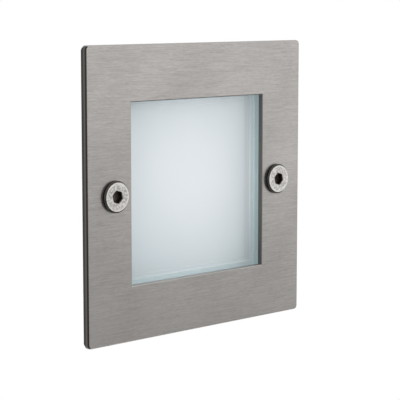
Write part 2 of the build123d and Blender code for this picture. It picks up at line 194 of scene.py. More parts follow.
def metal(name, tone, shade, roughness):
    """Bare or plated metal: clouds of a second tone, with gloss that changes with them."""
    material, tree, place = begin(name)
    cloud = add(tree, "TexNoise", {"Vector": place, "Scale": 1 / (CLOUD_MM * MM), "Detail": 5})
    colour = add(tree, "MixRGB", {
        "Fac": cloud.outputs["Fac"], "Color1": linear(tone), "Color2": linear(shade)})
    gloss = add(tree, "MapRange", {
        "Value": cloud.outputs["Fac"],
        "To Min": roughness - GLOSS_SPREAD,
        "To Max": roughness + GLOSS_SPREAD})
    shader = add(tree, "BsdfPrincipled", {
        "Base Color": colour.outputs["Color"],
        "Roughness": gloss.outputs["Result"],
        "Metallic": 1.0})
    add(tree, "OutputMaterial", {"Surface": shader.outputs["BSDF"]})
    return material


def insert_rings(x, front, back, radius):
    """Rings of one bush: out over its knurls, which are crossed sine ridges, and back through its thread."""
    angle = around(144)
    outside = np.linspace(front, back, 61)[:, None]
    slant = INSERT_KNURLS / radius * (outside - front)
    ridge = np.maximum(np.abs(np.sin(INSERT_KNURLS / 2 * angle + slant)),
                       np.abs(np.sin(INSERT_KNURLS / 2 * angle - slant)))
    along = (outside - front) / (back - front)
    knurled = np.any([(along > start) & (along < end) for start, end in INSERT_BANDS], axis=0)
    outer = np.where(knurled, radius - INSERT_KNURL * (1 - ridge), radius - INSERT_GROOVE)
    inside = np.arange(back, front, -M5_PITCH / THREAD_STEPS)[:, None]
    bore = INSERT_BORE + INSERT_THREAD * (1 - screw_thread(inside, angle, M5_PITCH))
    return np.concatenate([rings_about(x, 0, outer, outside, angle), rings_about(x, 0, bore, inside, angle)])


turned_brass = metal("turned_brass", "#c9a257", "#b58a43", 0.3)
insert_low, insert_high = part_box("threaded_inserts")
insert_radius = (insert_high[2] - insert_low[2]) / 2
insert_x = insert_high[0] - insert_radius
insert_shells = [insert_rings(x, insert_low[1], insert_high[1], insert_radius) for x in (-insert_x, insert_x)]
inserts = skin("brass_inserts", insert_shells, turned_brass, ring_shaped=True, sharp=40)
stands_for(inserts, "wall_box", "brass", "threaded_inserts")

# Cable grommets: two black rubber rings that line the cable holes in the back and the bottom of the box.
# Moulded EPDM, pushed in so that a lip holds on each side of the wall.
# Rubber is dull and slightly dusty, and its black drifts a little.
CABLE_BORE = 4.0 * MM
CABLE_NECK = 6.0 * MM
CABLE_LIP = 1.0 * MM
LIP_ROUND = 0.35 * MM
ROUND_STEPS = 3
ROUND_FROM = math.radians(40)
moulded_rubber = moulded("moulded_rubber", "#232425", "#2f3031", 0.68, grain_mm=0.5, depth_mm=0.02)


def round_edges(piece, width):
    """Rounds a piece's sharp edges."""
    bevel = piece.modifiers.new("rounding", "BEVEL")
    bevel.width = width
    bevel.segments = ROUND_STEPS
    bevel.limit_method = "ANGLE"
    bevel.angle_limit = ROUND_FROM


def grommet_rings(lip, low, high):
    """Rings of a grommet on the Y axis: lip, neck and lip outside, and a plain bore."""
    profile = [(CABLE_BORE, low), (lip, low), (lip, low + CABLE_LIP), (CABLE_NECK, low + CABLE_LIP),
               (CABLE_NECK, high - CABLE_LIP), (lip, high - CABLE_LIP), (lip, high), (CABLE_BORE, high)]
    return turned(0, 0, profile, around(64))


rear_low, rear_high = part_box("rear_grommet")
rear_rings = grommet_rings(rear_high[0], rear_low[1], rear_high[1])
rear_rings[..., 2] += (rear_low[2] + rear_high[2]) / 2
rear_grommet = skin("rear_cable_grommet", [rear_rings], moulded_rubber, ring_shaped=True)
round_edges(rear_grommet, LIP_ROUND)
stands_for(rear_grommet, "wall_box", "epdm_rubber", "rear_grommet")

bottom_low, bottom_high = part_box("bottom_grommet")
bottom_rings = grommet_rings(bottom_high[0], bottom_low[2], bottom_high[2])[..., [0, 2, 1]]
bottom_rings[..., 1] += (bottom_low[1] + bottom_high[1]) / 2
bottom_grommet = skin("bottom_cable_grommet", [bottom_rings], moulded_rubber, ring_shaped=True)
round_edges(bottom_grommet, LIP_ROUND)
stands_for(bottom_grommet, "wall_box", "epdm_rubber", "bottom_grommet")

# Lamp housing: the white tub behind the faceplate that holds the boards and presses the glass forward.
# Polycarbonate, moulded, with a flange, four lugs for the studs and posts for the boards.
# White plastic with a little gloss and a soft grain, with a painted glow at the flange in place of the lamp's
# light shining through.
# Painted glow on the front of the flange, in place of the lamp's light through the plastic.
FLANGE_PAINTED_GLOW = 0.31
FLANGE_PAINTED_GLOW_CORNER = 0.4 * FLANGE_PAINTED_GLOW
FLANGE_PAINTED_GLOW_FAR = 0.12
FLANGE_PAINTED_GLOW_DEPTH = 2.5 * MM
FLANGE_PAINTED_GLOW_REACH = 2.2 * MM
LIT_HALF = 24 * MM
LIT_RISE = 2.0 * MM
LIT_CORNER_SQUARE = 2.0
TUB_GRAIN_DEPTH_MM = 0.015


def from_middle(tree, place, middle, corner):
    """A value that runs from the lamp's middle to its corners with the square of the distance from its
    brightest point, which lies a little above the axis. The distance counts half widths of the lamp."""
    flat = add(tree, "VectorMath", {
        0: place,
        1: (1 / LIT_HALF, 0, 1 / LIT_HALF),
        2: (0, 0, -LIT_RISE / LIT_HALF)}, operation="MULTIPLY_ADD")
    square = add(tree, "VectorMath", {0: flat.outputs[0], 1: flat.outputs[0]}, operation="DOT_PRODUCT")
    value = add(tree, "MapRange", {
        "Value": square.outputs["Value"],
        "From Max": LIT_CORNER_SQUARE,
        "To Min": middle,
        "To Max": corner})
    return value.outputs["Result"]


def square_reach(tree, place):
    """How far a point lies from the middle of the square front: the larger of its distances along X and Z."""
    sides = add(tree, "VectorMath", {0: place}, operation="ABSOLUTE")
    side = add(tree, "SeparateXYZ", {0: sides.outputs[0]})
    reach = add(tree, "Math", {0: side.outputs["X"], 1: side.outputs["Z"]}, operation="MAXIMUM")
    return reach.outputs[0]


def painted_glow_polycarbonate(front):
    """White moulded plastic with an even grain. The front of the flange has a painted glow beside the lit
    pane, and less further out, towards the corners and backwards."""
    material, tree, place = begin("white_polycarbonate_painted_glow")
    grain = add(tree, "TexNoise", {"Vector": place, "Scale": 1 / (GRAIN_MM * MM), "Detail": 2})
    colour = add(tree, "MixRGB", {
        "Fac": grain.outputs["Fac"], "Color1": linear("#d3d9da"), "Color2": linear("#c8cfd1")})
    # Painted glow at the flange's front, strongest beside the pane.
    beside = add(tree, "MapRange", {
        "Value": square_reach(tree, place),
        "From Min": LIT_HALF,
        "From Max": LIT_HALF + FLANGE_PAINTED_GLOW_REACH,
        "To Min": from_middle(tree, place, FLANGE_PAINTED_GLOW, FLANGE_PAINTED_GLOW_CORNER),
        "To Max": FLANGE_PAINTED_GLOW_FAR})
    depth = add(tree, "SeparateXYZ", {0: place})
    glow = add(tree, "MapRange", {
        "Value": depth.outputs["Y"],
        "From Min": front,
        "From Max": front + FLANGE_PAINTED_GLOW_DEPTH,
        "To Min": beside.outputs["Result"],
        "To Max": 0.0})
    relief = add(tree, "Bump", {"Height": grain.outputs["Fac"], "Distance": TUB_GRAIN_DEPTH_MM * MM})
    shader = add(tree, "BsdfPrincipled", {
        "Base Color": colour.outputs["Color"],
        "Roughness": 0.42,
        "Normal": relief.outputs["Normal"],
        "Emission Color": linear("#eef5f9"),
        "Emission Strength": glow.outputs["Result"]})
    add(tree, "OutputMaterial", {"Surface": shader.outputs["BSDF"]})
    return material


dress(painted_glow_polycarbonate(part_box("lamp_housing")[0][1]), "lamp_housing")

# Mains driver: a glass-fibre circuit board and the parts soldered to it, inside the tub.
# The board has a green mask, paler over its tracks. Its parts are cased, sleeved, pressed or lacquered.
# Each keeps the usual colour of its kind, from ochre film capacitor to blue resistor.
BAND_MM = 2.2
BAND_EDGE = 0.03
TRACK_WAY = (1, 0, 0.35)
RESISTOR_WAY = (0, 0, 1)
SPECK_MM = 0.6
SPECK_GLOSS = 0.1


def banded(name, tone, band, roughness, period_mm, direction):
    """Stripes of a second colour square to a direction, as tracks, printed bands or the stripes of a
    two-colour lead: a saw wave of the place along that direction, cut at half its height."""
    material, tree, place = begin(name)
    across = add(tree, "VectorMath", {0: place, 1: direction}, operation="DOT_PRODUCT")
    turns = add(tree, "Math", {0: across.outputs["Value"], 1: 1 / (period_mm * MM)}, operation="MULTIPLY")
    saw = add(tree, "Math", {0: turns.outputs[0], 1: 1.0, 2: 0.0}, operation="WRAP")
    stripe = add(tree, "MapRange", {
        "Value": saw.outputs[0], "From Min": 0.5 - BAND_EDGE, "From Max": 0.5 + BAND_EDGE})
    speck = add(tree, "TexNoise", {"Vector": place, "Scale": 1 / (SPECK_MM * MM), "Detail": 2})
    colour = add(tree, "MixRGB", {
        "Fac": stripe.outputs["Result"], "Color1": linear(tone), "Color2": linear(band)})
    gloss = add(tree, "MapRange", {
        "Value": speck.outputs["Fac"],
        "To Min": roughness - SPECK_GLOSS,
        "To Max": roughness + SPECK_GLOSS})
    shader = add(tree, "BsdfPrincipled", {
        "Base Color": colour.outputs["Color"],
        "Roughness": gloss.outputs["Result"]})
    add(tree, "OutputMaterial", {"Surface": shader.outputs["BSDF"]})
    return material


dress(banded("green_masked_fibreglass", "#155433", "#1b6740", 0.3, BAND_MM, TRACK_WAY), "driver_board")
dress(moulded("ochre_capacitor_case", "#c99a2a", "#b98b22", 0.35), "film_capacitor")
dress(moulded("black_shrink_sleeve", "#171a21", "#20242c", 0.28), "smoothing_capacitor")
dress(moulded("pressed_ferrite", "#2b2b2c", "#3a3a3b", 0.6, grain_mm=0.4), "choke")
dress(moulded("moulded_epoxy", "#151515", "#1f1f1f", 0.55, grain_mm=0.4), "bridge_rectifier", "driver_chip")
dress(banded("lacquer_with_colour_bands", "#4d8aa8", "#7a4a20", 0.25, BAND_MM, RESISTOR_WAY), "fuse_resistor")
tinned_copper = metal("tinned_copper", "#c8c6c0", "#b3b0a8", 0.3)
dress(tinned_copper, "link_pins")

# Light source: nine light-emitting diodes on a white aluminium board, in front of the driver.
# Each shows as a square of yellow phosphor.
# Screws for plastic hold both boards to the posts of the tub.
SMALL_SHANK = 1.25 * MM
SMALL_LENGTH = 6.0 * MM
SMALL_PITCH = 0.9 * MM
SMALL_THREAD = 0.35 * MM
SMALL_POINT = 1.2 * MM
SMALL_POINT_END = 0.15
SMALL_HEAD = 2.2 * MM
SMALL_HEAD_H = 1.4 * MM
SMALL_HEAD_CORE = 0.02
SMALL_DOME = 0.45
CROSS_HALF_WIDTH = 0.28 * MM
CROSS_REACH = 1.25 * MM
CROSS_DEPTH = 0.8 * MM
CROSS_SLOPE = 0.16 * MM
CROSS_END = 0.3 * MM
dress(moulded("white_masked_aluminium", "#e6e9e7", "#d9dddb", 0.3), "led_board")
dress(moulded("yellow_phosphor", "#ead77a", "#e2c85c", 0.4, grain_mm=0.3), "leds")
zinc_plate = metal("zinc_plated_steel", "#c3c6c8", "#a9adb0", 0.32)


def small_screw_rings(x, z, seat, way):
    """Rings of one pan-head screw, from its domed head over to its tip. A cross is pressed into the head: a
    point drops where it lies near one of the cross's arms, with sides that slope. way is +1 where the tip
    points to +Y."""
    angle = around(96)
    spread = np.linspace(SMALL_HEAD_CORE, 1.0, 25)[:, None] * SMALL_HEAD
    dome = SMALL_HEAD_H * (1 - SMALL_DOME * (spread / SMALL_HEAD) ** 3)
    arm = np.minimum(np.abs(spread * np.sin(angle)), np.abs(spread * np.cos(angle)))
    wall = np.clip((CROSS_HALF_WIDTH + CROSS_SLOPE / 2 - arm) / CROSS_SLOPE, 0, 1)
    end = np.clip((CROSS_REACH - spread) / CROSS_END, 0, 1)
    head = rings_about(x, z, spread, seat - way * (dome - CROSS_DEPTH * wall * end), angle)
    skirt = turned(x, z, [(SMALL_HEAD, seat), (SMALL_SHANK, seat)], angle)
    run = np.arange(0, SMALL_LENGTH, SMALL_PITCH / THREAD_STEPS)[:, None]
    point = np.clip((SMALL_LENGTH - run) / SMALL_POINT, SMALL_POINT_END, 1)
    groove = SMALL_THREAD * screw_thread(way * run, angle, SMALL_PITCH)
    shank = rings_about(x, z, (SMALL_SHANK - groove) * point, seat + way * run, angle)
    return np.concatenate([head, skirt, shank])


led_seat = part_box("led_board_screws")[0][1] + SMALL_HEAD_H
led_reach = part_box("led_board_screws")[1][0] - SMALL_HEAD
corner_signs = [(-1, -1), (-1, 1), (1, -1), (1, 1)]
led_shells = [small_screw_rings(sx * led_reach, sz * led_reach, led_seat, 1) for sx, sz in corner_signs]
led_screws = skin("led_board_pan_screws", led_shells, zinc_plate)
stands_for(led_screws, "front_unit", "zinc_plated_steel", "led_board_screws")
driver_low, driver_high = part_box("driver_board_screws")
driver_seat = driver_low[1] + SMALL_HEAD_H
driver_x = driver_high[0] - SMALL_HEAD
driver_z = driver_high[2] - SMALL_HEAD
driver_shells = [small_screw_rings(side * driver_x, -side * driver_z, driver_seat, 1) for side in (-1, 1)]
driver_screws = skin("driver_board_pan_screws", driver_shells, zinc_plate)
stands_for(driver_screws, "front_unit", "zinc_plated_steel", "driver_board_screws")

# Reflector and diffuser: a white funnel that leads the light forward, and the opal pane that spreads it.
# The pane is cast acrylic with a raised border, lit from behind: brightest in the middle, dimmer outwards.
# Through the glass it reads as an even, cool white, with painted highlights as bright lines at its upright
# edges and its foot.
BORDER = 1.3 * MM
BORDER_RISE = 0.12 * MM
PANE_CORE = 1.0 * MM
PANE_CORNER = 0.6 * MM
CORNER_STEPS = 8
GLOW_MIDDLE = 0.45
GLOW_CORNER = 0.15
# Painted highlights along the pane's upright edges and its foot.
EDGE_PAINTED_GLOW_MIDDLE = 1.0
EDGE_PAINTED_GLOW_CORNER = 0.2
EDGE_PAINTED_GLOW_REACH = 0.6 * MM
FOOT_PAINTED_GLOW = 0.17
OPAL_CLOUD_MM = 14
dress(moulded("glossy_white_polycarbonate", "#eceeec", "#e3e6e5", 0.25, depth_mm=0.006), "reflector")


def square_rings(profile, corner):
    """Rings of a rounded square round the Y axis, from (half width, depth) pairs: four corner arcs, whose
    centres lie half the width less the corner's radius out along X and Z."""
    half, depth = np.array(profile).T
    radius = np.minimum(corner, half)[:, None]
    quarter = np.repeat(np.arange(4), CORNER_STEPS)
    angle = (quarter + np.tile(np.linspace(0, 1, CORNER_STEPS), 4)) * math.pi / 2
    middle = (quarter + 0.5) * math.pi / 2
    reach = half[:, None] - radius
    x = np.sign(np.sin(middle)) * reach + radius * np.sin(angle)
    z = np.sign(np.cos(middle)) * reach + radius * np.cos(angle)
    return np.stack([x, np.broadcast_to(depth[:, None], x.shape), z], axis=-1)


def opal_acrylic(half):
    """Opal pane, lit from behind: the glow falls with the square of the distance from the pane's middle. Its
    two upright edges have a painted highlight that glows more, and its lower edge, on which it rests, a
    painted highlight that glows a little more."""
    material, tree, place = begin("opal_acrylic")
    glow = from_middle(tree, place, GLOW_MIDDLE, GLOW_CORNER)
    split = add(tree, "SeparateXYZ", {0: place})
    across = add(tree, "Math", {0: split.outputs["X"]}, operation="ABSOLUTE")
    # Painted highlight along the two upright edges.
    rim = add(tree, "MapRange", {
        "Value": across.outputs[0],
        "From Min": half - EDGE_PAINTED_GLOW_REACH,
        "From Max": half,
        "To Max": from_middle(tree, place, EDGE_PAINTED_GLOW_MIDDLE, EDGE_PAINTED_GLOW_CORNER)})
    # Painted highlight along the lower edge.
    painted_foot_line = add(tree, "MapRange", {
        "Value": split.outputs["Z"],
        "From Min": EDGE_PAINTED_GLOW_REACH - half,
        "From Max": -half,
        "To Max": FOOT_PAINTED_GLOW})
    sides = add(tree, "Math", {0: glow, 1: rim.outputs["Result"]}, operation="ADD")
    whole = add(tree, "Math", {0: sides.outputs[0], 1: painted_foot_line.outputs["Result"]}, operation="ADD")
    colour = add(tree, "MixRGB", {
        "Fac": from_middle(tree, place, 0.0, 1.0), "Color1": linear("#fff8ff"), "Color2": linear("#eef9ff")})
    cloud = add(tree, "TexNoise", {"Vector": place, "Scale": 1 / (OPAL_CLOUD_MM * MM), "Detail": 1})
    body = add(tree, "MixRGB", {
        "Fac": cloud.outputs["Fac"], "Color1": linear("#bcbec1"), "Color2": linear("#b7babd")})
    shader = add(tree, "BsdfPrincipled", {
        "Base Color": body.outputs["Color"],
        "Roughness": 0.4,
        "Emission Color": colour.outputs["Color"],
        "Emission Strength": whole.outputs[0]})
    add(tree, "OutputMaterial", {"Surface": shader.outputs["BSDF"]})
    return material


pane_low, pane_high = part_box("diffuser")
pane_half = pane_high[0]
pane_front = pane_low[1]
pane_back = pane_high[1]
pane_profile = [
    (PANE_CORE, pane_front + BORDER_RISE),
    (pane_half - BORDER - BORDER_RISE, pane_front + BORDER_RISE),
    (pane_half - BORDER, pane_front),
    (pane_half - 2 * BORDER_RISE, pane_front),
    (pane_half, pane_front + 2 * BORDER_RISE),
    (pane_half, pane_back),
    (PANE_CORE, pane_back),
]
pane_shells = [square_rings(pane_profile, PANE_CORNER)]
pane = skin("opal_diffuser_pane", pane_shells, opal_acrylic(pane_half), sharp=20)
stands_for(pane, "front_unit", "opal_acrylic", "diffuser")

# Glazing: a 4 mm pane of float glass between two soft silicone frames.
# Cut, then its edges ground to a small arris. The iron in float glass makes the edges blue-green.
# It is clear face on, and aqua where the eye looks into its depth beside the window's wall, helped by a
# painted glow on its edges.
ARRIS = 0.3 * MM
GLASS_EASE = 0.02 * MM
GLASS_CORNER = 1.0 * MM
GLASS_WAVE_MM = 20
GLASS_IOR = 1.52
# Painted glow on the glass's ground edges, in place of lamp light caught in the pane.
PAINTED_EDGE_GLOW = 0.1
GROUND_LEVEL = 0.8
POLISHED_LEVEL = 0.95
# Painted glow on the front seal and rear gasket, in place of the lamp's light through the silicone.
FRONT_SEAL_PAINTED_GLOW = 0.66
REAR_GASKET_PAINTED_GLOW = 0.46
SEAL_CORNER_SHARE = 0.5


def float_glass():
    """Clear glass with a faint aqua body and an almost even, polished face. Its ground edges have a painted
    aqua glow in place of the light that runs along inside the pane."""
    material, tree, place = begin("float_glass")
    wave = add(tree, "TexNoise", {"Vector": place, "Scale": 1 / (GLASS_WAVE_MM * MM), "Detail": 1})
    colour = add(tree, "MixRGB", {
        "Fac": wave.outputs["Fac"], "Color1": linear("#f8fdfd"), "Color2": linear("#f5fcfc")})
    facing = add(tree, "SeparateXYZ", {0: add(tree, "TexCoord").outputs["Normal"]})
    level = add(tree, "Math", {0: facing.outputs["Y"]}, operation="ABSOLUTE")
    # Painted glow on the ground edges.
    edge_glow_mask = add(tree, "MapRange", {
        "Value": level.outputs[0],
        "From Min": GROUND_LEVEL,
        "From Max": POLISHED_LEVEL,
        "To Min": PAINTED_EDGE_GLOW,
        "To Max": 0.0})
    shader = add(tree, "BsdfPrincipled", {
        "Base Color": colour.outputs["Color"],
        "Roughness": 0.0,
        "IOR": GLASS_IOR,
        "Transmission Weight": 1.0,
        "Emission Color": linear("#d3e6e6"),
        "Emission Strength": edge_glow_mask.outputs["Result"]})
    add(tree, "OutputMaterial", {"Surface": shader.outputs["BSDF"]})
    return material


glass_low, glass_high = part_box("glass")
glass_front = glass_low[1] + GLASS_EASE
glass_back = glass_high[1] - GLASS_EASE
glass_half = glass_high[0] - GLASS_EASE
glass_profile = [
    (PANE_CORE, glass_front),
    (glass_half - ARRIS, glass_front),
    (glass_half, glass_front + ARRIS),
    (glass_half, glass_back - ARRIS),
    (glass_half - ARRIS, glass_back),
    (PANE_CORE, glass_back),
]
glass = skin("float_glass_pane", [square_rings(glass_profile, GLASS_CORNER)], float_glass(), sharp=20)
glass.visible_shadow = False
stands_for(glass, "front_unit", "float_glass", "glass")


def painted_glow_silicone(name, glow):
    """Soft translucent rubber with a slow drift in tone, and a painted glow in place of the lamp's light that
    it passes on, less at its corners."""
    material, tree, place = begin(name)
    drift = add(tree, "TexNoise", {"Vector": place, "Scale": 1 / (DRIFT_MM * MM), "Detail": 3})
    colour = add(tree, "MixRGB", {
        "Fac": drift.outputs["Fac"], "Color1": linear("#a9babe"), "Color2": linear("#9daeb3")})
    shader = add(tree, "BsdfPrincipled", {
        "Base Color": colour.outputs["Color"],
        "Roughness": 0.5,
        "Emission Color": linear("#dfe7ea"),
        "Emission Strength": from_middle(tree, place, glow, SEAL_CORNER_SHARE * glow)})
    add(tree, "OutputMaterial", {"Surface": shader.outputs["BSDF"]})
    return material


dress(painted_glow_silicone("silicone_seal_painted_glow", FRONT_SEAL_PAINTED_GLOW), "front_glass_seal")
dress(painted_glow_silicone("silicone_gasket_painted_glow", REAR_GASKET_PAINTED_GLOW), "rear_glass_gasket")

# Faceplate: the square of brushed stainless steel that covers the recess, and the rubber gasket behind it.
# Blanked from 1.5 mm sheet, which rounds the edges in front, then brushed from side to side with a belt.
# The brushing breaks the reflection into level streaks, drawn wider than real ones. The cut edges are painted
# dark, and edges facing up painted bright: painted shade, dark reflection and highlight.
STREAK_LENGTH_MM = 6.0
STREAK_WIDTH_MM = 0.22
HAIR_LENGTH_MM = 1.3
HAIR_WIDTH_MM = 0.14
BELT_DRIFT_MM = 22.0
BELT_SHARE = 0.6
BRUSH_LOW = 0.9
BRUSH_HIGH = 1.7
DULL_STREAK = 0.4
BRIGHT_STREAK = 0.3
BRUSH_RELIEF = 0.25
BRUSH_DEPTH = 0.02 * MM
# The cut edges are painted dark, as painted shade and dark reflection, and edges facing up are painted
# bright.
CUT_LEVEL = 0.9
FACE_LEVEL = 0.998
SIDE_LEVEL = 0.1
ROUNDED_LEVEL = 0.4
FRONT_BAND_END = 0.95 * MM
FRONT_BAND_FADE = 0.15 * MM
OUTER_REACH = 35 * MM
EDGE_HIGHLIGHT_FROM = 0.8
EDGE_HIGHLIGHT_FULL = 0.98


def brushed_stainless(front):
    """Brushed steel: long and short noise streaks along X change its tone, gloss and relief, with a slow
    drift from the belt. Where the surface turns away from the front, the colour goes over to a painted edge
    colour, which is painted shade and dark reflection. Outside, the rounding is painted darkest, with a paler
    band in front and a darker one behind it. The window was punched, and its walls are painted a paler grey.
    The plate's top and bottom edges and the window's sill are painted pale, as a painted highlight."""
    material, tree, place = begin("brushed_stainless_steel")
    facing = add(tree, "TexCoord").outputs["Normal"]
    streak_scale = (1 / (STREAK_LENGTH_MM * MM), 1 / (STREAK_WIDTH_MM * MM), 1 / (STREAK_WIDTH_MM * MM))
    hair_scale = (1 / (HAIR_LENGTH_MM * MM), 1 / (HAIR_WIDTH_MM * MM), 1 / (HAIR_WIDTH_MM * MM))
    long = add(tree, "VectorMath", {0: place, 1: streak_scale}, operation="MULTIPLY")
    short = add(tree, "VectorMath", {0: place, 1: hair_scale}, operation="MULTIPLY")
    streak = add(tree, "TexNoise", {"Vector": long.outputs[0], "Scale": 1.0, "Detail": 3})
    hair = add(tree, "TexNoise", {"Vector": short.outputs[0], "Scale": 1.0, "Detail": 2})
    drift = add(tree, "TexNoise", {"Vector": place, "Scale": 1 / (BELT_DRIFT_MM * MM), "Detail": 2})
    both = add(tree, "Math", {0: streak.outputs["Fac"], 1: hair.outputs["Fac"]}, operation="ADD")
    total = add(tree, "Math", {
        0: drift.outputs["Fac"], 1: BELT_SHARE, 2: both.outputs[0]}, operation="MULTIPLY_ADD")
    brush = add(tree, "MapRange", {
        "Value": total.outputs[0], "From Min": BRUSH_LOW, "From Max": BRUSH_HIGH})
    face = add(tree, "MixRGB", {
        "Fac": brush.outputs["Result"], "Color1": linear("#a4a09e"), "Color2": linear("#c0bdba")})
    forward = add(tree, "SeparateXYZ", {0: facing}).outputs["Y"]
    level = add(tree, "Math", {0: forward}, operation="ABSOLUTE")
    # Painted dark edge colour where the surface turns away from the front: painted shade and dark reflection.
    edge = add(tree, "MapRange", {
        "Value": level.outputs[0],
        "From Min": CUT_LEVEL,
        "From Max": FACE_LEVEL,
        "To Min": 1.0,
        "To Max": 0.0})
    rounded = add(tree, "MapRange", {
        "Value": level.outputs[0], "From Min": SIDE_LEVEL, "From Max": ROUNDED_LEVEL})
    depth = add(tree, "SeparateXYZ", {0: place}).outputs["Y"]
    # Painted bands on the outer edge: paler in front, darker behind, darkest at the rounding.
    back_band = add(tree, "MapRange", {
        "Value": depth,
        "From Min": front + FRONT_BAND_END,
        "From Max": front + FRONT_BAND_END + FRONT_BAND_FADE})
    side = add(tree, "MixRGB", {
        "Fac": back_band.outputs["Result"], "Color1": linear("#5c5955"), "Color2": linear("#413f3c")})
    painted_outer_edge = add(tree, "MixRGB", {
        "Fac": rounded.outputs["Result"], "Color1": side.outputs["Color"], "Color2": linear("#3a3734")})
    outer = add(tree, "Math", {0: square_reach(tree, place), 1: OUTER_REACH}, operation="GREATER_THAN")
    painted_edge_shade = add(tree, "MixRGB", {
        "Fac": outer.outputs[0], "Color1": linear("#777571"), "Color2": painted_outer_edge.outputs["Color"]})
    outward = add(tree, "VectorMath", {0: facing, 1: (1, 0, 1)}, operation="MULTIPLY")
    way_out = add(tree, "VectorMath", {0: outward.outputs[0]}, operation="NORMALIZE")
    rise = add(tree, "SeparateXYZ", {0: way_out.outputs[0]}).outputs["Z"]
    fall = add(tree, "Math", {0: rise, 1: -1.0}, operation="MULTIPLY")
    outer_fall = add(tree, "Math", {0: fall.outputs[0], 1: outer.outputs[0]}, operation="MULTIPLY")
    highlight_facing = add(tree, "Math", {0: rise, 1: outer_fall.outputs[0]}, operation="MAXIMUM")
    # Painted highlight on edges that face up, and on the plate's bottom edge.
    painted_edge_highlight = add(tree, "MapRange", {
        "Value": highlight_facing.outputs[0], "From Min": EDGE_HIGHLIGHT_FROM, "From Max": EDGE_HIGHLIGHT_FULL})
    painted_edge_colour = add(tree, "MixRGB", {
        "Fac": painted_edge_highlight.outputs["Result"], "Color1": painted_edge_shade.outputs["Color"], "Color2": linear("#a9a5a3")})
    colour = add(tree, "MixRGB", {
        "Fac": edge.outputs["Result"], "Color1": face.outputs["Color"], "Color2": painted_edge_colour.outputs["Color"]})
    gloss = add(tree, "MapRange", {
        "Value": brush.outputs["Result"], "To Min": DULL_STREAK, "To Max": BRIGHT_STREAK})
    relief = add(tree, "Bump", {
        "Height": brush.outputs["Result"], "Strength": BRUSH_RELIEF, "Distance": BRUSH_DEPTH})
    shader = add(tree, "BsdfPrincipled", {
        "Base Color": colour.outputs["Color"],
        "Metallic": 1.0,
        "Roughness": gloss.outputs["Result"],
        "Normal": relief.outputs["Normal"]})
    add(tree, "OutputMaterial", {"Surface": shader.outputs["BSDF"]})
    return material


dress(brushed_stainless(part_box("faceplate")[0][1]), "faceplate")
dress(moulded_rubber, "wall_gasket")

# Stud fixings: four M3 studs welded to the faceplate's back, with a washer and a nut each, hold the tub.
# Stainless studs, and zinc-plated washers and nuts with chamfered corners.
# Small bright threads and flats, with the faint clouds of plating.
M3_PITCH = 0.5 * MM
M3_RADIUS = 1.5 * MM
M3_DEPTH = 0.28 * MM
M3_STEPS = 6
STUD_FOOT = 1.0 * MM
STUD_FADE = 1.0 * MM
STUD_BEVEL = 0.4 * MM
NUT_FLATS = 5.5 * MM
NUT_HEIGHT = 2.4 * MM
NUT_TURN = math.radians(-15)
NUT_CONE = 0.49 * NUT_FLATS
NUT_CONE_SLOPE = math.radians(30)
stud_steel = metal("drawn_stainless_steel", "#bdbbb7", "#a8a6a2", 0.28)
stud_low, stud_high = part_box("weld_studs")
stud_at = stud_high[0] - M3_RADIUS


def stud_rings(x, z):
    """Rings of one stud: a plain foot at the plate, then a thread that fades in, and a bevelled end."""
    angle = around(48)
    run = np.arange(stud_low[1], stud_high[1], M3_PITCH / M3_STEPS)[:, None]
    grown = np.clip((run - stud_low[1] - STUD_FOOT) / STUD_FADE, 0, 1)
    tip = np.clip((run - stud_high[1] + STUD_BEVEL) / STUD_BEVEL, 0, 1)
    radius = M3_RADIUS - np.maximum(M3_DEPTH * grown * screw_thread(run, angle, M3_PITCH), M3_DEPTH * tip)
    return rings_about(x, z, radius, run, angle)


def hexagon_radius(flats, angle, turn):
    """Distance from the middle of a hexagon to its edge: half its flats over the cosine of the angle to the
    nearest flat's middle. turn is where one of its corners points."""
    return flats / 2 / np.cos((angle - turn) % (math.pi / 3) - math.pi / 6)


def nut_rings(x, z, front):
    """Rings of one nut: six flats, whose corners a cone takes off at both ends, round a plain bore."""
    angle = around(96, NUT_TURN)
    outline = hexagon_radius(NUT_FLATS, angle, NUT_TURN)
    fall = (outline - NUT_CONE) * math.tan(NUT_CONE_SLOPE)
    back = front + NUT_HEIGHT
    bore = np.full_like(angle, M3_RADIUS)
    rim = np.full_like(angle, NUT_CONE)
    rows = [(bore, front), (rim, front), (outline, front + fall),
            (outline, back - fall), (rim, back), (bore, back)]
    return np.concatenate([rings_about(x, z, radius[None], depth, angle[None]) for radius, depth in rows])


stud_shells = [stud_rings(sx * stud_at, sz * stud_at) for sx, sz in corner_signs]
studs = skin("threaded_weld_studs", stud_shells, stud_steel, sharp=50)
stands_for(studs, "front_unit", "screw_stainless", "weld_studs")
nut_low, nut_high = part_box("stud_nuts")
tag_thickness = nut_high[1] - nut_low[1] - NUT_HEIGHT
nut_shells = []
for sx, sz in corner_signs:
    nut_front = nut_low[1] + (tag_thickness if (sx, sz) == (1, 1) else 0.0)
    nut_shells.append(nut_rings(sx * stud_at, sz * stud_at, nut_front))
nuts = skin("stud_nuts_chamfered", nut_shells, zinc_plate, ring_shaped=True)
stands_for(nuts, "front_unit", "zinc_plated_steel", "stud_nuts")
dress(zinc_plate, "stud_washers")

